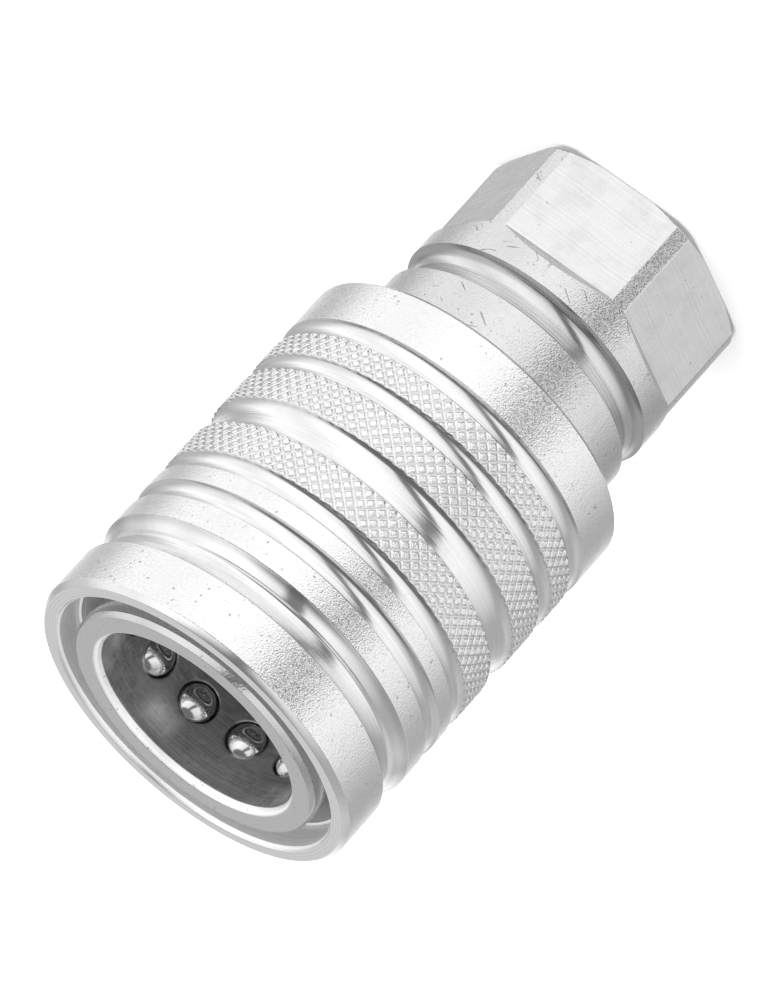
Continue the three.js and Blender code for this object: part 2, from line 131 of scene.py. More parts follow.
class Graph:
    """A node tree and its last node, with short calls for the few nodes that the materials use."""

    def __init__(self, tree, last):
        self.tree = tree
        self.last = last

    def add(self, kind, inputs=(), **settings):
        """Adds a node; an input that is another node's output is linked, and any other value is set."""
        node = self.tree.nodes.new("ShaderNode" + kind)
        for name, value in settings.items():
            setattr(node, name, value)
        for key, value in dict(inputs).items():
            if isinstance(value, bpy.types.NodeSocket):
                self.tree.links.new(value, node.inputs[key])
            else:
                node.inputs[key].default_value = value
        return node

    def math(self, operation, *values):
        return self.add("Math", enumerate(values), operation=operation).outputs[0]

    def product(self, *values):
        result = values[0]
        for value in values[1:]:
            result = self.math("MULTIPLY", result, value)
        return result

    def total(self, *terms):
        """The sum of (value, weight) terms."""
        products = [self.product(value, weight) for value, weight in terms]
        result = products[0]
        for product in products[1:]:
            result = self.math("ADD", result, product)
        return result

    def rest(self, value):
        """One less the value."""
        return self.math("SUBTRACT", 1.0, value)

    def plug(self, output, name):
        self.tree.links.new(output, self.last.inputs[name])

    def step(self, value, low, high, to_low=0.0, to_high=1.0):
        """A smooth climb from to_low at low to to_high at high."""
        inputs = {"Value": value, "From Min": low, "From Max": high, "To Min": to_low, "To Max": to_high}
        return self.add("MapRange", inputs, interpolation_type="SMOOTHSTEP").outputs["Result"]

    def noise(self, vector, scale, detail=2.0, roughness=0.5):
        inputs = {"Vector": vector, "Scale": scale, "Detail": detail, "Roughness": roughness}
        return self.add("TexNoise", inputs, noise_dimensions="3D").outputs["Fac"]

    def noise_line(self, value, scale, detail):
        inputs = {"W": value, "Scale": scale, "Detail": detail}
        return self.add("TexNoise", inputs, noise_dimensions="1D").outputs["Fac"]

    def mix(self, factor, first, second):
        """Mixes two colours; the node keeps its colour sockets behind those for numbers and vectors."""
        return self.add("Mix", {0: factor, 6: first, 7: second}, data_type="RGBA").outputs[2]

    def blend(self, factor, first, second):
        inputs = {"Factor": factor, "A": first, "B": second}
        return self.add("Mix", inputs, data_type="FLOAT").outputs[0]

    def ramp(self, value, stops):
        """Brightness by position, with straight lines between the stops."""
        node = self.add("ValToRGB", {"Fac": value})
        elements = node.color_ramp.elements
        while len(elements) < len(stops):
            elements.new(0.5)
        for element, (position, level) in zip(elements, stops):
            element.position = position
            element.color = grey(level)
        return node.outputs["Color"]

    def bump(self, height, distance, normal=None):
        inputs = {"Height": height, "Distance": distance, "Strength": 1.0}
        if normal is not None:
            inputs["Normal"] = normal
        return self.add("Bump", inputs).outputs["Normal"]


def grey(level):
    return (level, level, level, 1)


def new_material(name, colour, roughness, metallic=1.0):
    """A material and its graph, ready for the inputs that vary over the surface."""
    material = bpy.data.materials.new(name)
    material.use_nodes = True
    shader = material.node_tree.nodes["Principled BSDF"]
    shader.inputs["Base Color"].default_value = colour
    shader.inputs["Roughness"].default_value = roughness
    shader.inputs["Metallic"].default_value = metallic
    return material, Graph(material.node_tree, shader)


def millimetres(graph):
    """The surface point in the coupler's own frame, its x, y and z, and its radius, in millimetres."""
    place = graph.add("TexCoord").outputs["Object"]
    scaled = graph.add("VectorMath", {0: place, "Scale": 1 / MM}, operation="SCALE").outputs[0]
    parts = graph.add("SeparateXYZ", {0: scaled}).outputs
    squares = [graph.math("POWER", part, 2.0) for part in (parts[0], parts[1])]
    radius = graph.math("SQRT", graph.math("ADD", *squares))
    return scaled, parts, radius


def profile_run(graph, parts, radius):
    """A length that grows along a turned surface whichever way its outline runs."""
    return graph.math("ADD", graph.product(radius, 1.3), parts[2])


def specks(graph, place, scale, size, share):
    """1 in small ragged specks, one in some of the cells of a Voronoi pattern."""
    ragged = graph.noise(place, 4.0, 2.0)
    cells = graph.add("TexVoronoi", {"Vector": place, "Scale": scale, "Randomness": 1.0})
    lot = graph.add("SeparateColor", {0: cells.outputs["Color"]}).outputs[0]
    chosen = graph.math("GREATER_THAN", lot, 1 - share)
    reach = graph.product(graph.step(ragged, 0.35, 0.65, 0.4, 1.6), size)
    near = graph.math("LESS_THAN", cells.outputs["Distance"], reach)
    return graph.product(chosen, near)


def scratches(graph, parts, reach, turn, wide):
    """1 on thin straight marks that run at an angle across the unrolled surface."""
    around = graph.product(graph.math("ARCTAN2", parts[1], parts[0]), reach)
    flat = graph.add("CombineXYZ", {0: around, 1: parts[2]}).outputs[0]
    angle = math.radians(turn)
    slanted = graph.add("VectorRotate", {"Vector": flat, "Angle": angle}, rotation_type="Z_AXIS").outputs[0]
    drawn = graph.add("VectorMath", {0: slanted, 1: (0.22, 3.2, 1.0)}, operation="MULTIPLY").outputs[0]
    marks = graph.step(graph.noise(drawn, 1.0, 2.0, 0.4), 0.66, 0.69)
    patch = graph.step(graph.noise(flat, wide, 1.0), 0.55, 0.62)
    return graph.product(marks, patch)


def plated_steel(
    name, blank_radius, level=0.9, inner_radius=0.0, grain=1.0, scarred=0.0, fillet_shade=0.0, wall_shade=0.24
):
    """Bright zinc on steel: grainy where the bar's own skin shows, finely turned below blank_radius.

    grain is the strength of the skin's grain, scarred that of its scratches, fillet_shade how dark the
    painted shade on the fillets that face the mouth is, and wall_shade how dark the painted shade on a
    groove's walls near the skin is.
    """
    material, graph = new_material(name, grey(level), 0.25)
    place, parts, radius = millimetres(graph)
    skin = graph.step(radius, blank_radius - 0.06, blank_radius - 0.015)
    turned_part = graph.rest(skin)
    # painted light: within inner_radius the colour goes to full white, standing in for light on the shaded
    # inside walls and for a highlight on the inner bevel; there the surface is also rougher and partly
    # diffuse
    inside = graph.step(radius, inner_radius + 0.3, inner_radius)

    # the skin: grain, pits and dots in crowds, and two families of scratches
    fine = graph.noise(place, 5.2, 1.0, 0.7)
    crowd = graph.step(graph.noise(place, 0.35, 2.0), 0.4, 0.56)
    pits = specks(graph, place, 1.4, 0.17, 0.3)
    dots = specks(graph, place, 3.2, 0.2, 0.12)
    marks = scratches(graph, parts, blank_radius, 35.0, 0.3)
    cross = scratches(graph, parts, blank_radius, -22.0, 0.24)
    worn = graph.product(graph.total((pits, 0.5), (dots, 0.4)), crowd)
    lasting = graph.total((graph.step(fine, 0.3, 0.72), 0.08 * grain), (worn, 1.0))
    scars = graph.total((marks, 0.35 * scarred), (cross, 0.3 * scarred))
    skin_mark = graph.product(graph.math("ADD", lasting, scars), skin)

    # the turned parts: tool lines, painted shade on groove walls near the skin and painted shade on fillets
    # facing the mouth
    along = profile_run(graph, parts, radius)
    lines = graph.noise_line(along, 4.5, 5.0)
    turning = graph.product(graph.step(lines, 0.35, 0.75), turned_part)
    # painted shade: the upper part of each groove's walls, away from the mouth face, is darkened
    near_rim = graph.step(radius, blank_radius - 0.75, blank_radius - 0.2)
    below_mouth = graph.step(parts[2], LENGTH - 0.8, LENGTH - 1.2)
    wall = graph.product(near_rim, below_mouth, turned_part)
    # painted shade: turned fillets whose normals point towards the mouth are darkened
    upward = graph.add("SeparateXYZ", {0: graph.add("TexCoord").outputs["Normal"]}).outputs[2]
    fillet = graph.product(graph.step(upward, 0.42, 0.62), turned_part)
    turned_mark = graph.total((turning, 0.12), (wall, wall_shade), (fillet, fillet_shade))

    stain = graph.step(graph.noise(place, 1.1, 3.0, 0.6), 0.5, 0.75)
    darker = graph.total((stain, 0.05), (skin_mark, 1.0), (turned_mark, 1.0))
    # the plated colour outside, painted full white inside inner_radius as painted light and painted
    # highlight
    bright = graph.mix(inside, grey(min(level * 1.04, 1.0)), grey(1.0))
    graph.plug(graph.mix(darker, bright, grey(0.12)), "Base Color")

    rough_skin = graph.step(graph.noise(place, 0.3, 3.0, 0.6), 0.3, 0.7, 0.08, 0.12)
    rough_turned = graph.step(graph.noise_line(along, 1.3, 2.0), 0.3, 0.7, 0.08, 0.16)
    rough = graph.blend(skin, rough_turned, rough_skin)
    graph.plug(graph.blend(inside, rough, 0.42), "Roughness")
    if inner_radius:
        graph.plug(graph.blend(inside, 1.0, 0.6), "Metallic")

    relief = graph.total((fine, 1.0), (marks, -0.5 * scarred), (cross, -0.5 * scarred))
    normal = graph.bump(graph.product(relief, skin), 0.00006 * grain)
    graph.plug(graph.bump(graph.product(lines, turned_part), 0.000026, normal), "Normal")
    return material


def knurled_steel(name):
    """The knurl's crests keep a dimpled skin, and its furrows are smooth and carry a little painted shade.
    """
    material, graph = new_material(name, grey(0.9), 0.25)
    place, _, radius = millimetres(graph)
    crest = graph.step(radius, SLEEVE_RADIUS - 0.1, SLEEVE_RADIUS - 0.03)
    dimples = graph.noise(place, 2.4, 2.0, 0.6)
    fine = graph.noise(place, 6.0, 2.0, 0.7)
    shade = graph.total((graph.step(dimples, 0.5, 0.62), 0.08), (graph.step(fine, 0.35, 0.7), 0.08))
    # painted shade: the furrows below the crests are painted 10% darker
    darker = graph.total((shade, 1.0), (graph.rest(crest), 0.1))
    graph.plug(graph.mix(darker, grey(1.0), grey(0.2)), "Base Color")
    graph.plug(graph.blend(crest, 0.16, 0.26), "Roughness")
    height = graph.total((graph.product(dimples, crest), 1.0), (fine, 0.3))
    graph.plug(graph.bump(height, 0.00012), "Normal")
    return material


def milled_steel(name):
    """The hexagon's flats: fine cutter marks across the axis."""
    material, graph = new_material(name, grey(0.9), 0.3)
    place, parts, _ = millimetres(graph)
    wander = graph.product(graph.noise(place, 0.08, 1.0), 1.2)
    across = graph.math("ADD", parts[2], wander)
    marks = graph.noise_line(across, 3.6, 2.0)
    fine = graph.noise(place, 4.0, 3.0, 0.7)
    cloud = graph.noise(place, 0.4, 3.0, 0.6)
    dots = specks(graph, place, 1.2, 0.12, 0.12)
    shades = (
        (graph.step(marks, 0.35, 0.65), 0.07),
        (graph.step(cloud, 0.4, 0.75), 0.08),
        (graph.step(fine, 0.3, 0.7), 0.08),
        (dots, 0.4),
    )
    graph.plug(graph.mix(graph.total(*shades), grey(0.83), grey(0.15)), "Base Color")
    graph.plug(graph.step(cloud, 0.3, 0.7, 0.24, 0.34), "Roughness")
    graph.plug(graph.bump(graph.total((marks, 1.0), (fine, 0.12)), 0.00004), "Normal")
    return material


HIGHLIGHT_TURN = 60.0  # where the bore's wall carries a painted highlight, in degrees round the axis


def bored_steel(name, level, roughness, highlight_spot=None):
    """Inside surfaces: thin plating over turned steel, streaked round the bore.

    highlight_spot is the depth and the angle of one place where the wall is made dull and mostly
    non-metallic so that it shows bright, a painted highlight.
    """
    material, graph = new_material(name, grey(level), roughness)
    place, parts, radius = millimetres(graph)
    streaks = graph.add("VectorMath", {0: place, 1: (0.12, 0.12, 2.4)}, operation="MULTIPLY").outputs[0]
    lines = graph.noise(streaks, 1.6, 4.0, 0.7)
    cloud = graph.noise(place, 0.3, 4.0, 0.65)
    dim = graph.total((graph.step(lines, 0.35, 0.7), 0.3), (graph.step(cloud, 0.42, 0.6), 0.4))
    graph.plug(graph.mix(dim, grey(level), grey(0.25 * level)), "Base Color")
    rough = graph.step(cloud, 0.3, 0.7, roughness - 0.08, roughness + 0.1)
    graph.plug(rough, "Roughness")
    lathe_marks = graph.noise_line(profile_run(graph, parts, radius), 6.0, 4.0)
    graph.plug(graph.bump(lathe_marks, 0.00002), "Normal")
    # painted highlight: a streaked patch of the wall made mostly non-metallic so that it shows bright
    if highlight_spot:
        depth, turn = highlight_spot
        angle = graph.math("ARCTAN2", parts[1], parts[0])
        off_turn = graph.math("ABSOLUTE", graph.math("SUBTRACT", angle, math.radians(turn)))
        off_depth = graph.math("ABSOLUTE", graph.math("SUBTRACT", parts[2], LENGTH - depth))
        near = graph.product(graph.step(off_turn, 0.24, 0.0), graph.step(off_depth, 2.6, 0.0))
        patch = graph.product(near, graph.step(lines, 0.3, 0.6, 0.55, 1.0))
        graph.plug(graph.blend(patch, 1.0, 0.25), "Metallic")
    return material


def polished_steel(name):
    """Ball steel, faintly smeared with grease."""
    material, graph = new_material(name, grey(0.78), 0.05)
    place = millimetres(graph)[0]
    smear = graph.noise(place, 0.8, 3.0, 0.6)
    graph.plug(graph.step(smear, 0.4, 0.8, 0.03, 0.12), "Roughness")
    graph.plug(graph.mix(graph.step(smear, 0.5, 0.8), grey(0.8), grey(0.66)), "Base Color")
    return material


def spring_wire(name):
    """Drawn wire with a dull skin."""
    material, graph = new_material(name, grey(0.5), 0.35)
    place = millimetres(graph)[0]
    drawn = graph.noise(place, 2.5, 4.0, 0.7)
    graph.plug(graph.mix(graph.step(drawn, 0.35, 0.7), grey(0.56), grey(0.36)), "Base Color")
    graph.plug(graph.step(drawn, 0.3, 0.7, 0.28, 0.42), "Roughness")
    graph.plug(graph.bump(drawn, 0.00003), "Normal")
    return material


def moulded(name, colour, worn, roughness):
    """Rubber or plastic with a faint bloom."""
    material, graph = new_material(name, colour, roughness, 0.0)
    place = millimetres(graph)[0]
    bloom = graph.noise(place, 1.6, 4.0, 0.6)
    graph.plug(graph.mix(graph.step(bloom, 0.4, 0.75), colour, worn), "Base Color")
    rough = graph.step(bloom, 0.3, 0.7, roughness - 0.08, roughness + 0.08)
    graph.plug(rough, "Roughness")
    graph.plug(graph.bump(graph.noise(place, 7.0, 2.0), 0.00002), "Normal")
    return material


# the sleeve's inside and inner bevel are painted bright within inner_radius, a painted highlight
sleeve_steel = plated_steel("sleeve zinc", SLEEVE_RADIUS, inner_radius=17.12)
knurl_steel = knurled_steel("knurl zinc")
body_steel = plated_steel("body zinc", COLLAR_RADIUS, level=0.72, scarred=1.4, fillet_shade=0.36, wall_shade=0.05)
flat_steel = milled_steel("flat zinc")
# the mouth's inner bevel is painted bright within inner_radius, a painted highlight
face_steel = plated_steel("face zinc", 0.0, level=0.65, inner_radius=12.35, grain=0.25)
bore_steel = bored_steel("bore zinc", 0.95, 0.36, highlight_spot=(BALL_DEPTH - 3.9, HIGHLIGHT_TURN))
port_steel = bored_steel("port zinc", 0.8, 0.34)
valve_steel = bored_steel("valve steel", 0.7, 0.26)
ball_steel = polished_steel("ball steel")
wire_steel = spring_wire("spring wire")
nitrile = moulded("nitrile", (0.018, 0.018, 0.02, 1), (0.035, 0.035, 0.036, 1), 0.45)
ptfe = moulded("ptfe", (0.82, 0.82, 0.79, 1), (0.74, 0.74, 0.7, 1), 0.4)


# ---------- mesh tools


def ring(radius, count, depth, turn=0.0):
    """Points at even angles about the flow axis; the radius may be one for each point."""
    angles = math.radians(turn) + np.arange(count) * 2 * np.pi / count
    height = np.full(count, LENGTH - depth)
    return np.column_stack((radius * np.cos(angles), radius * np.sin(angles), height))


def circle(radius, depth, count, turn=0.0):
    """A ring of points, or one point where the radius is zero."""
    return ring(radius, 1 if radius < EPSILON else count, depth, turn)


WELD = 0.0005  # points closer than this, in millimetres, become one
SHARP_EDGE = 50  # degrees between two faces


class Skin:
    """Collects patches of points and faces in millimetres and makes one welded object of them."""

    def __init__(self):
        self.points = []
        self.faces = []
        self.paints = []
        self.count = 0

    def place(self, points):
        """Adds points and gives the number of the first."""
        start = self.count
        self.points.append(np.asarray(points, float))
        self.count += len(points)
        return start

    def face(self, corners, paint=0):
        self.faces.append(tuple(corners))
        self.paints.append(paint)

    def rows(self, rows, paints=None, closed=False):
        """Joins rings of points, one after another; a finer ring is stitched to a coarser one."""
        starts = [self.place(row) for row in rows]
        for first in range(len(rows) if closed else len(rows) - 1):
            second = (first + 1) % len(rows)
            paint = paints[first] if paints is not None else 0
            self.join(starts[first], len(rows[first]), starts[second], len(rows[second]), paint)

    def join(self, a, count_a, b, count_b, paint=0):
        """Fills the strip between two rings, known by their first points and their counts."""
        if count_a > count_b:
            self.join(b, count_b, a, count_a, paint)
            return
        if count_a == 1:
            for j in range(count_b):
                self.face((a, b + j, b + (j + 1) % count_b), paint)
            return
        ratio = count_b // count_a
        for i in range(count_a):
            fine = [b + (i * ratio + k) % count_b for k in range(ratio, -1, -1)]
            self.face([a + i, a + (i + 1) % count_a, *fine], paint)

    def finish(self, name, materials, body, *nodes, bevel=0.0):
        """Makes the object, gives it to its body and takes the place of the CAD's nodes."""
        mesh = bpy.data.meshes.new(name)
        mesh.from_pydata((np.vstack(self.points) * MM).tolist(), [], self.faces)
        for material in materials:
            mesh.materials.append(material)
        mesh.polygons.foreach_set("material_index", self.paints)
        welded = bmesh.new()
        welded.from_mesh(mesh)
        bmesh.ops.remove_doubles(welded, verts=welded.verts, dist=WELD * MM)
        bmesh.ops.recalc_face_normals(welded, faces=welded.faces)
        if bevel:
            sharp = [edge for edge in welded.edges if edge.calc_face_angle(0) > math.radians(SHARP_EDGE)]
            bmesh.ops.bevel(welded, geom=sharp, offset=bevel * MM, segments=2, profile=0.5, affect="EDGES")
        for face in welded.faces:
            face.smooth = True
        welded.to_mesh(mesh)
        welded.free()
        piece = new_object(name, mesh)
        even = piece.modifiers.new("even normals", "WEIGHTED_NORMAL")
        even.weight = 80
        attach(piece, body)
        if nodes:
            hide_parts(*nodes)
        return piece


def rounded(outline, closed=False, steps=4):
    """Replaces each corner of an outline of (radius, depth, corner radius, ...) with an arc."""
    result = []
    count = len(outline)
    for i, (r, depth, *rest) in enumerate(outline):
        size = rest[0] if rest else 0.0
        here = np.array((r, depth), float)
        if size <= 0 or (not closed and i in (0, count - 1)):
            result.append(tuple(here))
            continue
        before = np.array(outline[i - 1][:2], float) - here
        after = np.array(outline[(i + 1) % count][:2], float) - here
        reach = 0.45 * min(np.linalg.norm(before), np.linalg.norm(after))
        before /= np.linalg.norm(before)
        after /= np.linalg.norm(after)
        half = math.acos(np.clip(before @ after, -1, 1)) / 2
        size = min(size, reach * math.tan(half))
        cut = size / math.tan(half)
        start = here + before * cut
        end = here + after * cut
        middle = (before + after) / np.linalg.norm(before + after)
        centre = here + middle * size / math.sin(half)
        first = start - centre
        last = end - centre
        sweep = math.acos(np.clip(first @ last / size**2, -1, 1))
        for k in range(steps + 1):
            t = k / steps
            blended = (math.sin((1 - t) * sweep) * first + math.sin(t * sweep) * last) / math.sin(sweep)
            result.append(tuple(centre + blended))
    return result


def bulge(start, end, sagitta, steps):
    """Points of a shallow arc from start to end, the ends left out, bowed by sagitta to its left."""
    start = np.array(start, float)
    end = np.array(end, float)
    chord = end - start
    side = np.array((-chord[1], chord[0])) / np.linalg.norm(chord)
    points = []
    for k in range(1, steps):
        t = k / steps
        points.append(tuple(start + t * chord + side * sagitta * 4 * t * (1 - t)))
    return points


TURNED_SEGMENTS = 144


def turned(name, outline, material, body, *nodes, closed=True, steps=3):
    """A piece of revolution from an outline that closes on itself or starts and ends on the axis."""
    skin = Skin()
    profile = rounded(outline, closed, steps)
    skin.rows([circle(r, depth, TURNED_SEGMENTS) for r, depth in profile], closed=closed)
    skin.finish(name, [material], body, *nodes)


# ---------- sleeve

KNURLS = ((19.48, 23.56), (27.33, 31.45), (33.67, 36.54))
KNURL_CELLS = 80  # diamonds round the sleeve
KNURL_PITCH = 1.43  # along the sleeve
KNURL_STEPS = 12  # mesh steps across one diamond
KNURL_DEPTH = 0.25
KNURL_CROWN = 0.08  # share of the depth by which a diamond rises from its edges to its middle
SLEEVE_SEGMENTS = 240
KNURL_UNEVEN = 0.008
KNURL_SINK = 0.01  # keeps the uneven crests within the sleeve's radius
DICE = np.random.default_rng(7)


def furrow(steps):
    """Depth of a knurl furrow at a distance, in mesh steps, from the middle of the nearest furrow."""
    half_width = 2.5
    near = np.abs((steps + KNURL_STEPS / 2) % KNURL_STEPS - KNURL_STEPS / 2)
    slope = np.clip(1 - near / half_width, 0, 1)
    crown = np.clip(1 - (near - half_width) / (KNURL_STEPS / 2 - half_width), 0, 1)
    return KNURL_DEPTH * (slope * (1 - KNURL_CROWN) + crown * KNURL_CROWN)


def knurl_rows(front, rear):
    """Rings of points of one knurled band, each crest a little uneven."""
    count = KNURL_CELLS * KNURL_STEPS
    step = KNURL_PITCH / KNURL_STEPS
    rows = int((rear - front) / step)
    places = [k * step for k in range(rows)] + [rear - front]
    across = np.arange(count)
    uneven = DICE.normal(0, KNURL_UNEVEN, (len(places), count))
    uneven = np.clip(uneven, -0.9 * KNURL_SINK, 0.9 * KNURL_SINK)
    result = []
    for k, place in enumerate(places):
        up = place / step
        cut = np.maximum(furrow(across + up), furrow(across - up))
        result.append(ring(SLEEVE_RADIUS - KNURL_SINK - cut + uneven[k], count, front + place))
    return result


def add_knurl(skin, front, rear):
    """A knurled band, its squares split along the nearer furrow so that furrows stay sharp."""
    rows = knurl_rows(front, rear)
    count = len(rows[0])
    starts = [skin.place(row) for row in rows]
    half = KNURL_STEPS / 2
    for k in range(len(rows) - 1):
        a = starts[k]
        b = starts[k + 1]
        for i in range(count):
            j = (i + 1) % count
            rising = abs((i + k + 1 + half) % KNURL_STEPS - half)
            falling = abs((i - k + half) % KNURL_STEPS - half)
            if rising < falling:
                skin.face((a + i, a + j, b + i), 1)
                skin.face((a + j, b + j, b + i), 1)
            else:
                skin.face((a + i, a + j, b + j), 1)
                skin.face((a + i, b + j, b + i), 1)
    return rows[0], rows[-1]


FILLET_STOPS = np.arange(1, 7) / 7  # shares of a fillet's sweep where its points lie


def fillet_points(floor, start, radius, angles):
    """Points of a hollow fillet that leaves a floor at a depth and climbs towards the rear."""
    return [(floor + radius * (1 - math.cos(t)), start + radius * math.sin(t)) for t in angles]


def groove(front, rear, depth, fillet):
    """A turned groove: a steep front wall, a nearly flat floor and a fillet that climbs to the rear edge."""
    floor = SLEEVE_RADIUS - depth
    sweep = 2 * math.atan2(depth, fillet)
    rise = fillet_points(floor, rear - fillet, fillet / math.sin(sweep), sweep * FILLET_STOPS)
    return [
        (SLEEVE_RADIUS, front, 0.05),
        (SLEEVE_RADIUS - 0.12, front + 0.07, 0.02),
        (floor + 0.1, front + 0.42 * depth, 0.3),
        (floor, front + 1.1 * depth, 0.2),
        (floor, rear - fillet, 0.1),
        *rise,
        (SLEEVE_RADIUS, rear, 0.05),
    ]


def first_groove(front, rear):
    """The deep groove behind the front band: a hollow sweep, a tool step, then a conical rise."""
    bottom = SLEEVE_RADIUS - 1.35
    middle = front + 2.5
    return [
        (SLEEVE_RADIUS, front, 0.06),
        (SLEEVE_RADIUS - 0.15, front + 0.12, 0.03),
        *bulge((SLEEVE_RADIUS - 0.15, front + 0.12), (bottom, middle), 0.32, 6),
        (bottom, middle, 0.04),
        (bottom + 0.12, middle + 0.13, 0.03),
        (bottom + 0.35, middle + 0.34, 0.08),
        *bulge((bottom + 0.35, middle + 0.34), (SLEEVE_RADIUS, rear), 0.03, 5),
        (SLEEVE_RADIUS, rear, 0.05),
    ]


def add_sleeve():
    """The outer sleeve: bands, grooves and three knurls outside, the locking cone and a shoulder inside."""
    skin = Skin()
    front_outline = [
        (17.1, 3.35), (17.1, 0.5, 0.05), (17.42, 0.0, 0.06), (18.7, 0.0, 0.1),
        (SLEEVE_RADIUS, 0.7, 0.2), *first_groove(6.02, 10.17), *groove(12.92, 15.22, 0.85, 1.2),
        *groove(17.22, 19.48, 0.85, 1.2)[:-1],
    ]
    between = groove(23.56, 27.33, 0.95, 1.5)[1:-1]
    behind = groove(31.45, 33.67, 0.85, 1.2)[1:-1]
    rear_outline = [
        *groove(36.54, 38.76, 0.85, 1.2)[1:], (SLEEVE_RADIUS, 44.0, 0.15),
        (18.85, SLEEVE_LENGTH, 0.1), (17.3, SLEEVE_LENGTH, 0.1), (17.3, 43.5, 0.04),
        (17.9, 43.5, 0.04), (17.9, 42.65, 0.04), (17.3, 42.65, 0.04), (17.3, 10.6, 0.15),
        (15.9, 10.6, 0.1), (15.9, BALL_DEPTH, 0.4), (16.634, 3.35, 0.05), (17.1, 3.35, 0.08),
    ]
    knurl_edges = [add_knurl(skin, front, rear) for front, rear in KNURLS]

    def lathe(outline, first=None, last=None):
        rows = [circle(r, depth, SLEEVE_SEGMENTS) for r, depth in rounded(outline)]
        if first is not None:
            rows.insert(0, first)
        if last is not None:
            rows.append(last)
        skin.rows(rows)

    lathe(front_outline, last=knurl_edges[0][0])
    lathe(between, knurl_edges[0][1], knurl_edges[1][0])
    lathe(behind, knurl_edges[1][1], knurl_edges[2][0])
    lathe(rear_outline, knurl_edges[2][1])
    skin.finish("knurled_sleeve", [sleeve_steel, knurl_steel], "sleeve", "sleeve")


# ---------- socket body

SECTORS = len(BALL_NAMES)
SECTOR_STEPS = 16
WINDOW = 3.0  # half height of the patch round each ball hole
HOLE_LIP = 2.23  # radius of the narrow lip that keeps a ball from falling in
HOLE_RADIUS = 2.5
PATCH_RINGS = 5


def hole_patch(radius, hole):
    """Rings of (sideways, up) from the edge of one sector's window to a ball hole's rim."""
    half = math.radians(180 / SECTORS)
    swing = np.linspace(-half, half, SECTOR_STEPS + 1)
    climb = np.linspace(-WINDOW, WINDOW, SECTOR_STEPS + 1)
    side = radius * math.sin(half)
    edge = [(radius * math.sin(a), -WINDOW) for a in swing[:-1]]
    edge += [(side, c) for c in climb[:-1]]
    edge += [(radius * math.sin(a), WINDOW) for a in swing[:0:-1]]
    edge += [(-side, c) for c in climb[:0:-1]]
    edge = np.array(edge)
    turn = np.arctan2(edge[:, 1], edge[:, 0])
    even = turn[0] + np.arange(len(edge)) * 2 * np.pi / len(edge)
    rim = hole * np.column_stack((np.cos(even), np.sin(even)))
    shares = np.linspace(0, 1, PATCH_RINGS + 1) ** 0.8
    return [edge + (rim - edge) * t for t in shares], even


def placed(x, y, z, turn):
    """Turns points about the axis to a ball hole's place; x is outwards and z counts from the balls."""
    c = math.cos(math.radians(turn))
    s = math.sin(math.radians(turn))
    return np.column_stack((c * x - s * y, s * x + c * y, z + LENGTH - BALL_DEPTH))


def on_cylinder(flat, radius, turn):
    """Wraps (sideways, up) points on a cylinder about the axis, centred on one ball hole."""
    x = np.sqrt(radius**2 - flat[:, 0] ** 2)
    return placed(x, flat[:, 0], flat[:, 1], turn)


def add_ball_hole(skin, turn):
    """One sector of the wall from the bore through the ball hole to the outside."""
    inner, even = hole_patch(BORE_RADIUS, HOLE_LIP + 0.1)
    outer, _ = hole_patch(BODY_RADIUS, HOLE_RADIUS + 0.12)
    rows = [on_cylinder(flat, BORE_RADIUS, turn) for flat in inner]
    lip = ((HOLE_LIP + 0.03, 0.03), (HOLE_LIP, 0.1), (HOLE_LIP + 0.02, 0.35))
    wall = ((HOLE_RADIUS, 1.1), (HOLE_RADIUS, 1.9))
    for size, beyond in (*lip, *wall):
        y = size * np.cos(even)
        z = size * np.sin(even)
        rows.append(placed(np.sqrt(BORE_RADIUS**2 - y**2) + beyond, y, z, turn))
    y = HOLE_RADIUS * np.cos(even)
    z = HOLE_RADIUS * np.sin(even)
    rows.append(placed(np.sqrt(BODY_RADIUS**2 - y**2) - 0.12, y, z, turn))
    rows += [on_cylinder(flat, BODY_RADIUS, turn) for flat in reversed(outer)]
    skin.rows(rows, paints=[1] * len(rows))


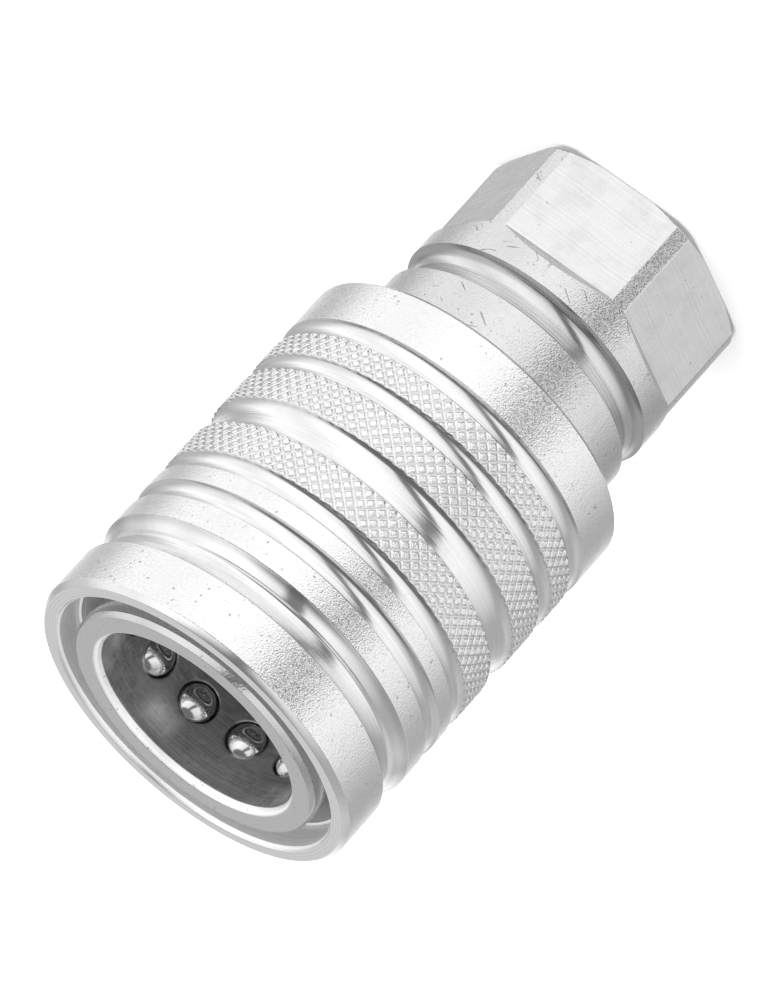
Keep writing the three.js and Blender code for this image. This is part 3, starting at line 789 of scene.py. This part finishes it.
def add_socket_body():
    """The socket: the mouth ring, the wall with the ball holes, the seal groove, the seat and the joint."""
    skin = Skin()
    start = BALL_TURN - 180 / SECTORS
    segments = SECTORS * SECTOR_STEPS
    front_edge = BALL_DEPTH - WINDOW
    rear_edge = BALL_DEPTH + WINDOW
    front = [
        (BORE_RADIUS, front_edge), (BORE_RADIUS, 0.85, 0.3), (12.25, 0.4, 0.3), (12.55, 0.0, 0.12),
        (14.65, 0.0, 0.06), (BODY_RADIUS, 0.6, 0.1), (BODY_RADIUS, front_edge),
    ]
    rear = [
        (BODY_RADIUS, rear_edge), (BODY_RADIUS, 10.6, 0.1), (13.6, 10.6, 0.1), (13.6, 37.1, 0.2),
        (13.3, 37.1, 0.05), (13.3, 42.4, 0.05), (12.1, 42.4, 0.1), (12.1, 44.3, 0.1),
        (13.3, 44.3, 0.05), (13.3, 46.0, 0.3), (10.9, 46.0, 0.1), (10.9, 40.0, 0.1),
        (11.5, 39.4, 0.1), (11.5, 29.6, 0.1), (8.3, 26.4, 0.12), (8.3, 24.6, 0.12),
        (10.4, 24.6, 0.2), (10.4, 21.6, 0.12), (12.35, 21.6, 0.15), (12.35, 18.2, 0.15),
        (10.4, 18.2, 0.12), (10.4, 15.9, 0.3), (BORE_RADIUS, 14.4, 0.3), (BORE_RADIUS, rear_edge),
    ]
    for outline in (front, rear):
        profile = rounded(outline)
        rows = [circle(r, depth, segments, start) for r, depth in profile]
        inside = [1 if r < BORE_RADIUS + 0.02 or depth > 11 else 0 for r, depth in profile]
        skin.rows(rows, paints=inside)
    for k in range(SECTORS):
        add_ball_hole(skin, BALL_TURN + k * 360 / SECTORS)
    skin.finish("socket_ring", [face_steel, bore_steel], "body", "socket_body")


# ---------- rear body

HEX_SIDES = 6
HEX_TURN = 30.0
FLAT_STEPS = 16
CORNER_STEPS = 24
RAMP_START = 56.5  # depth where the cutter begins to run out into the collar
RAMP_END = 58.5
RAMP_SLOPE = 1.1
END_RADIUS = 13.8
CHAMFER = (COLLAR_RADIUS - END_RADIUS) * math.tan(math.radians(30))
THREAD_PITCH = 1.814
THREAD_MINOR = 9.32
THREAD_MAJOR = 10.47
THREAD_FRONT = 55.0
RELIEF_RADIUS = 10.6


def hex_ring(radius, apothem, depth):
    """One section of the hexagon: straight flats joined by arcs, with close points beside each edge."""
    half_width = math.sqrt(max(radius**2 - apothem**2, 0))
    edge = math.atan2(half_width, apothem)
    hold = min(0.12, 0.4 * half_width)
    inner = half_width - hold
    flat = [-half_width, *np.linspace(-inner, inner, FLAT_STEPS - 1)]
    sector = math.pi / (HEX_SIDES / 2)
    corner_hold = hold / radius
    corner = [edge, *np.linspace(edge + corner_hold, sector - edge - corner_hold, CORNER_STEPS - 1)]
    points = []
    for side in range(HEX_SIDES):
        turn = math.radians(HEX_TURN) + side * sector
        for y in flat:
            points.append((math.hypot(apothem, y), turn + math.atan2(y, apothem)))
        for angle in corner:
            points.append((radius, turn + angle))
    return np.array([(r * math.cos(a), r * math.sin(a), LENGTH - depth) for r, a in points])


SLIVER = math.cos(math.radians(0.35))  # keeps a round section's flats too narrow to see


def collar_ring(radius, depth):
    """A round section with its points spaced like the hexagon's, so that the two join without a twist."""
    return hex_ring(radius, radius * SLIVER, depth)


def hex_rows():
    """Sections from the ramps that end in the collar to the chamfered end face."""
    full = math.acos(HEX_APOTHEM / COLLAR_RADIUS)
    rows = []
    for share in (0.02, 0.12, 0.25, 0.4, 0.55, 0.7, 0.82, 0.92, 0.97):
        apothem = COLLAR_RADIUS * math.cos(full * share)
        rows.append((COLLAR_RADIUS, apothem, RAMP_END - (apothem - HEX_APOTHEM) / RAMP_SLOPE))
    for depth in (RAMP_END, RAMP_END + 0.08, RAMP_END + 0.3, 62.0, 66.0):
        rows.append((COLLAR_RADIUS, HEX_APOTHEM, depth))
    chamfer_start = LENGTH - CHAMFER
    rows.append((COLLAR_RADIUS, HEX_APOTHEM, chamfer_start - 0.1))
    for share in (0.0, 0.12, 0.35, 0.6, 0.85, 0.94):
        radius = COLLAR_RADIUS + (END_RADIUS - COLLAR_RADIUS) * share
        rows.append((radius, HEX_APOTHEM, chamfer_start + CHAMFER * share))
    rows.append((END_RADIUS - 0.03, HEX_APOTHEM - 0.03, LENGTH))
    return rows


def thread_rows():
    """The port's right-hand parallel thread, from its countersink in to the relief."""
    count = HEX_SIDES * (FLAT_STEPS + CORNER_STEPS)
    turns = np.arange(count) / count
    step = THREAD_PITCH / 14
    depths = np.arange(LENGTH - 0.15, THREAD_FRONT - 0.6, -step)
    rows = []
    for depth in depths:
        phase = ((LENGTH - depth) / THREAD_PITCH + turns) % 1.0
        tooth = 0.5 - 0.5 * np.cos(2 * np.pi * phase)
        tooth = np.clip((tooth - 0.08) / 0.84, 0, 1)
        radius = THREAD_MINOR + (THREAD_MAJOR - THREAD_MINOR) * tooth
        sink = RELIEF_RADIUS + 0.05 - (LENGTH - depth)
        run_out = THREAD_MINOR + (THREAD_FRONT + 0.6 - depth) * 1.4
        radius = np.minimum(np.maximum(np.maximum(radius, sink), run_out), RELIEF_RADIUS)
        rows.append(ring(radius, count, depth, HEX_TURN))
    return rows


def paint_flats(skin):
    """Gives the milled finish to the faces that lie on a flat or on its ramp."""
    ramp_start = LENGTH - RAMP_START
    points = np.vstack(skin.points)
    for index, face in enumerate(skin.faces):
        corners = points[list(face)]
        top = corners[:, 2].max()
        if skin.paints[index] or top > ramp_start or top < 0.01:
            continue
        radii = np.hypot(corners[:, 0], corners[:, 1])
        angles = np.degrees(np.arctan2(corners[:, 1], corners[:, 0]))
        off = (angles - HEX_TURN + 30) % 60 - 30
        apothems = radii * np.cos(np.radians(off))
        flat = np.abs(off).max() < 27 and (radii.min() < COLLAR_RADIUS - 0.02 or np.ptp(apothems) < 0.01)
        if flat and apothems.max() < COLLAR_RADIUS - 0.02 and np.ptp(radii) > 100 * EPSILON:
            skin.paints[index] = 2


def add_rear_body():
    """The rear body: flange, cylinder, groove and collar, the hexagon, and the threaded port inside."""
    skin = Skin()
    count = HEX_SIDES * (FLAT_STEPS + CORNER_STEPS)
    outer = [
        (13.5, 37.4), (17.1, 37.4, 0.1), (17.1, 40.4, 0.1), (COLLAR_RADIUS, 40.4, 0.1),
        (COLLAR_RADIUS, 50.8, 0.06), (14.45, 50.95, 0.08),
        *bulge((14.45, 50.95), (13.85, 52.85), 0.06, 5), (13.85, 52.85, 0.05),
        *fillet_points(13.85, 52.93, 1.69, np.radians((6, 17, 28, 39, 50, 60, 69))),
        (COLLAR_RADIUS, 54.56, 0.03), (COLLAR_RADIUS, 55.6),
    ]
    rows = [collar_ring(r, depth) for r, depth in rounded(outer)]
    paints = [0] * len(rows)
    sections = [hex_ring(*section) for section in hex_rows()]
    mouth = [circle(r, LENGTH, count, HEX_TURN) for r in (12.9, RELIEF_RADIUS + 0.08)]
    inner = [
        (RELIEF_RADIUS, THREAD_FRONT - 0.7), (RELIEF_RADIUS, 52.5, 0.3), (9.0, 52.5, 0.15),
        (9.0, 48.1, 0.15), (13.5, 48.1, 0.1), (13.5, 37.4),
    ]
    bore = [circle(r, depth, count, HEX_TURN) for r, depth in rounded(inner)]
    threads = thread_rows()
    rows += sections + mouth + threads + bore
    paints += [0] * (len(sections) + len(mouth) - 1)
    paints += [1] * (len(threads) + len(bore) + 1)
    skin.rows(rows, paints)
    paint_flats(skin)
    skin.finish("hex_body", [body_steel, port_steel, flat_steel], "body", "rear_body")


# ---------- small turned pieces


def box_of(node):
    """Radius, front depth and rear depth of a node, in millimetres."""
    low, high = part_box(node)
    return high.x / MM, LENGTH - high.z / MM, LENGTH - low.z / MM


def add_ring(name, node, inner, material, body):
    """A plain ring of rectangular section that fills its node's box."""
    edge = 0.12
    radius, front, rear = box_of(node)
    outline = [(inner, front, edge), (radius, front, edge), (radius, rear, edge), (inner, rear, edge)]
    turned(name, outline, material, body, node)


def add_o_ring(name, node, body):
    """A rubber ring, slightly squeezed along the axis."""
    radius, front, rear = box_of(node)
    section = (rear - front) / 2 / math.sin(math.radians(60))
    centre = radius - section
    middle = (front + rear) / 2
    angles = np.linspace(0, 2 * np.pi, 24, endpoint=False)
    outline = [(centre + section * math.cos(a), middle + 0.98 * section * math.sin(a)) for a in angles]
    turned(name, outline, nitrile, body, node, steps=1)


def add_coil(name, node, mean, wire, turns):
    """A compression spring with a closed turn at each end."""
    _, front, rear = box_of(node)
    closed = 1.0
    pitch = 2.05 * wire
    rise = rear - front - 2 * wire - 2 * closed * pitch
    count = int(turns * 48)
    sides = 16
    t = np.linspace(0, turns, count + 1)
    first_turn = np.clip(t, 0, closed) * pitch
    open_turns = np.clip((t - closed) / (turns - 2 * closed), 0, 1) * rise
    last_turn = np.clip(t - turns + closed, 0, closed) * pitch
    climb = first_turn + open_turns + last_turn
    base = LENGTH - rear + wire
    rows = []
    for angle, height in zip(2 * np.pi * t, climb + base):
        around = np.linspace(0, 2 * np.pi, sides, endpoint=False)
        reach = mean + wire * np.cos(around)
        section = (reach * math.cos(angle), reach * math.sin(angle), height + wire * np.sin(around))
        rows.append(np.column_stack(section))
    skin = Skin()
    skin.rows([rows[0].mean(0, keepdims=True), *rows, rows[-1].mean(0, keepdims=True)])
    coil = skin.finish(name, [wire_steel], "body", node)
    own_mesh(coil)


def add_balls():
    """The locking balls, each at the centre of its own node."""
    for name in BALL_NAMES:
        centre = centre_of(name)
        mesh = bpy.data.meshes.new("polished_" + name)
        shape = bmesh.new()
        bmesh.ops.create_icosphere(shape, subdivisions=5, radius=BALL_RADIUS * MM)
        bmesh.ops.translate(shape, verts=shape.verts, vec=centre)
        for face in shape.faces:
            face.smooth = True
        shape.to_mesh(mesh)
        shape.free()
        mesh.materials.append(ball_steel)
        piece = new_object("polished_" + name, mesh)
        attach(piece, name)
        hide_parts(name)


def add_valve():
    """The poppet with its stem, its screwed nose and the rubber ring between them."""
    head_and_stem = [
        (0, 24.5), (3.0, 24.5, 0.2), (3.0, 29.2, 0.1), (10.4, 29.2, 0.1), (10.6, 29.4, 0.1),
        (10.6, 31.4, 0.2), (5.5, 31.4, 0.2), (5.1, 33.0, 0.2), (2.0, 33.0, 0.3),
        (2.0, 48.2, 0.1), (1.6, 48.6, 0.1), (0, 48.6),
    ]
    bends = np.radians((0, 20, 40, 60, 80))
    nose = [
        (0, 20.5), (2.6, 20.5, 0.2), (3.0, 20.9, 0.3),
        *[(6.6 - 3.6 * math.cos(t), 21.6 + 3.6 * math.sin(t)) for t in bends],
        (7.6, 25.2, 0.25), (7.6, 26.2, 0.15), (8.8, 27.4, 0.12), (3.15, 27.4, 0.05),
        (3.15, 24.3, 0.05), (0, 24.3),
    ]
    seal = [(3.2, 27.5, 0.05), (9.2, 27.5, 0.1), (10.3, 28.6, 0.15), (10.3, 29.1, 0.05), (3.2, 29.1, 0.05)]
    turned("valve_poppet", head_and_stem, valve_steel, "poppet", "poppet", closed=False)
    turned("valve_nose", nose, valve_steel, "poppet", "poppet_nose", closed=False)
    turned("valve_seal", seal, nitrile, "poppet", "poppet_seal")


def polar(radius, degrees):
    """The point at a radius and an angle in degrees."""
    return radius * math.cos(math.radians(degrees)), radius * math.sin(math.radians(degrees))


def arc_points(centre, radius, start, end, count):
    """Points of an arc in a plane, from one angle in degrees to another, both ends included."""
    angles = np.radians(np.linspace(start, end, count))
    return [(centre[0] + radius * math.cos(a), centre[1] + radius * math.sin(a)) for a in angles]


def at_depth(points, depth):
    """Points of a flat section, set at a depth behind the mouth."""
    return [(x, y, LENGTH - depth) for x, y in points]


def add_snap_ring():
    """An internal circlip: an open ring with a lug and a pliers hole at each end."""
    inner = 16.3
    outer = 17.8
    ring_end = 14.0
    lug_turn = 15.0
    lug_reach = 16.5
    lug_radius = 1.0
    hole_radius = 0.45
    _, front, rear = box_of("sleeve_snap_ring")
    meets = math.degrees(math.acos((inner**2 + lug_reach**2 - lug_radius**2) / (2 * inner * lug_reach)))
    lug = polar(lug_reach, lug_turn)
    toward_ring = np.subtract(polar(inner, lug_turn + meets), lug)
    away = math.radians(lug_turn - ring_end)
    top = lug_reach * math.cos(away) + math.sqrt(lug_radius**2 - (lug_reach * math.sin(away)) ** 2)
    toward_gap = np.subtract(polar(top, ring_end), lug)
    first = math.degrees(math.atan2(toward_gap[1], toward_gap[0]))
    last = math.degrees(math.atan2(toward_ring[1], toward_ring[0])) - 360
    end_of_ring = arc_points(lug, lug_radius, first, last, 30)
    half = [polar(outer, ring_end), *end_of_ring]
    mirrored = [(x, -y) for x, y in reversed(half)]
    far = lug_turn + meets
    inside = arc_points((0, 0), inner, far, 360 - far, 150)[1:-1]
    outside = arc_points((0, 0), outer, 360 - ring_end, ring_end, 150)[1:-1]
    rim = [*half, *inside, *mirrored, *outside]
    holes = [arc_points((lug[0], side * lug[1]), hole_radius, 0, 345, 24) for side in (1, -1)]
    loops = [rim, *holes]
    triangles = tessellate_polygon([[Vector((x, y, 0)) for x, y in loop] for loop in loops])
    skin = Skin()
    flat = [point for loop in loops for point in loop]
    starts = [skin.place(at_depth(flat, depth)) for depth in (front, rear)]
    for corners in triangles:
        for start in starts:
            skin.face([start + corner for corner in corners])
    first_point = 0
    for loop in loops:
        count = len(loop)
        skin.join(starts[0] + first_point, count, starts[1] + first_point, count)
        first_point += count
    skin.finish("snap_ring", [wire_steel], "sleeve", "sleeve_snap_ring", bevel=0.07)


def add_guide():
    """The three-legged guide that holds the poppet's stem: a rim, legs and a bored hub in one piece."""
    legs = 3
    first_leg = 90.0
    leg_half_width = 1.1
    leg_steps = 2
    gap_steps = 38
    rim_inner = 9.2
    hub_radius = 3.9
    hub_bore = 2.2
    hub_front = 42.5
    rim_radius = 13.2
    plate = (46.1, 48.0)
    _, _, hub_rear = box_of("valve_guide")

    def spread(radius, at):
        half = math.degrees(math.asin(leg_half_width / at))
        turns = []
        for k in range(legs):
            start = first_leg + k * 360 / legs
            turns += list(np.linspace(start - half, start + half, leg_steps + 1)[:-1])
            turns += list(np.linspace(start + half, start + 360 / legs - half, gap_steps + 1)[:-1])
        return [polar(radius, turn) for turn in turns]

    skin = Skin()
    rim = spread(rim_radius, rim_inner)
    opening = spread(rim_inner, rim_inner)
    hub = spread(hub_radius, hub_radius)
    bore = spread(hub_bore, hub_radius)
    count = len(rim)
    wall_shade = [skin.place(at_depth(rim, depth)) for depth in plate]
    openings = [skin.place(at_depth(opening, depth)) for depth in plate]
    hubs = [skin.place(at_depth(hub, depth)) for depth in (hub_front, *plate, hub_rear)]
    bores = [skin.place(at_depth(bore, depth)) for depth in (hub_front, hub_rear)]
    ends = ((hubs[0], bores[0]), (hubs[3], bores[1]))
    for first, second in (wall_shade, bores, *zip(wall_shade, openings), hubs[:2], hubs[2:], *ends):
        skin.join(first, count, second, count)
    for i in range(count):
        j = (i + 1) % count
        step = i % (leg_steps + gap_steps)
        if step < leg_steps:
            for hub_ring, rim_ring in ((hubs[1], openings[0]), (hubs[2], openings[1])):
                skin.face((hub_ring + i, hub_ring + j, rim_ring + j, rim_ring + i))
        else:
            skin.face((openings[0] + i, openings[0] + j, openings[1] + j, openings[1] + i))
            skin.face((hubs[1] + i, hubs[1] + j, hubs[2] + j, hubs[2] + i))
        if step in (0, leg_steps):
            skin.face((hubs[1] + i, openings[0] + i, openings[1] + i, hubs[2] + i))
    skin.finish("stem_guide", [valve_steel], "body", "valve_guide", bevel=0.1)


add_sleeve()
add_socket_body()
add_rear_body()
add_balls()
add_valve()
add_ring("thrust_ring", "thrust_washer", 13.8, port_steel, "sleeve_carrier")
add_ring("guide_ring", "sleeve_guide_ring", 15.3, port_steel, "sleeve")
add_ring("support_ring", "backup_ring", 10.35, ptfe, "body")
add_o_ring("nipple_o_ring", "probe_seal", "body")
add_o_ring("static_o_ring", "body_seal", "body")
add_coil("sleeve_coil", "sleeve_spring", 15.45, 0.85, 6.5)
add_coil("poppet_coil", "poppet_spring", 6.6, 0.6, 5.5)
add_snap_ring()
add_guide()


# ---------- studio


FLOOR_REACH = 6.0  # metres
FLOOR_DROP = 0.02 * MM


def add_floor():
    """A plain pale floor just under the port, left out of the metal's reflections."""
    mesh = bpy.data.meshes.new("floor")
    quarters = ((-1, -1), (1, -1), (1, 1), (-1, 1))
    corners = [(x * FLOOR_REACH, y * FLOOR_REACH, -FLOOR_DROP) for x, y in quarters]
    mesh.from_pydata(corners, [], [(0, 1, 2, 3)])
    material, graph = new_material("floor", grey(0.93), 0.8, 0.0)
    graph.last.inputs["Specular IOR Level"].default_value = 0.1
    mesh.materials.append(material)
    floor = new_object("floor", mesh)
    floor.visible_glossy = False


# Brightness round the horizon, by the angle from the camera's side, of two soft boxes and the gaps.
SOFT_BOXES = (
    (-180, 0.95), (-168, 1.0), (-155, 0.5), (-138, 0.41), (-115, 0.41), (-98, 0.64), (-78, 0.86),
    (-60, 0.98), (-41, 0.94), (-35, 0.22), (-23, 0.2), (-16, 0.86), (0, 1.0), (22, 1.16), (45, 1.1),
    (66, 0.92), (84, 1.02), (102, 1.1), (122, 0.62), (136, 0.44), (148, 0.5), (165, 0.95),
    (180, 0.95),
)


CARD_LEVEL = 0.6
CEILING_LEVEL = 0.17
LOW_LEVEL = 0.33
WORLD_STRENGTH = 1.06
LAMP_SIZE = 2.4  # metres
LAMP_HEIGHT = 1.8
LAMP_POWER = 62.0


def add_world():
    """Soft boxes round the coupler, a dim ceiling, and a card behind it for the faces of the mouth."""
    world = bpy.data.worlds.new("studio")
    bpy.context.scene.world = world
    world.use_nodes = True
    background = world.node_tree.nodes["Background"]
    graph = Graph(world.node_tree, background)
    direction = graph.add("TexCoord").outputs["Generated"]
    x, y, z = graph.add("SeparateXYZ", {0: direction}).outputs
    azimuth = graph.product(graph.math("ARCTAN2", y, x), 180 / math.pi)
    height = graph.product(graph.math("ARCSINE", z), 180 / math.pi)
    lean = graph.product(graph.math("ADD", height, VIEW_ELEVATION), -0.45)
    side = graph.math("WRAP", graph.math("SUBTRACT", azimuth, VIEW_AZIMUTH), 180.0, -180.0)
    leaning = graph.math("WRAP", graph.math("ADD", side, lean), 180.0, -180.0)
    share = graph.math("DIVIDE", graph.math("ADD", leaning, 180.0), 360.0)
    boxes = graph.ramp(share, [((angle + 180) / 360, level) for angle, level in SOFT_BOXES])
    below = graph.step(height, -75.0, -45.0, 0.5, 1.0)
    level = graph.product(boxes, below)
    behind = graph.step(graph.math("ABSOLUTE", side), 100.0, 135.0)
    card = graph.product(behind, graph.step(height, 2.0, 14.0))
    level = graph.blend(card, level, CARD_LEVEL)
    ceiling_behind = graph.product(behind, graph.step(height, 36.0, 50.0))
    ceiling = graph.math("MAXIMUM", graph.step(height, 46.0, 60.0), ceiling_behind)
    level = graph.blend(ceiling, level, CEILING_LEVEL)
    low = graph.product(behind, graph.step(height, -32.0, -46.0))
    level = graph.blend(low, level, LOW_LEVEL)
    graph.plug(level, "Color")
    background.inputs["Strength"].default_value = WORLD_STRENGTH


def add_lamp():
    """One large round lamp overhead, which the metal doesn't mirror."""
    lamp = bpy.data.lights.new("overhead", "AREA")
    lamp.shape = "DISK"
    lamp.size = LAMP_SIZE
    lamp.energy = LAMP_POWER
    overhead = new_object("overhead", lamp)
    overhead.location = (0, 0, LAMP_HEIGHT)
    overhead.visible_glossy = False


add_floor()
add_world()
add_lamp()
bpy.context.scene.view_settings.view_transform = "Standard"
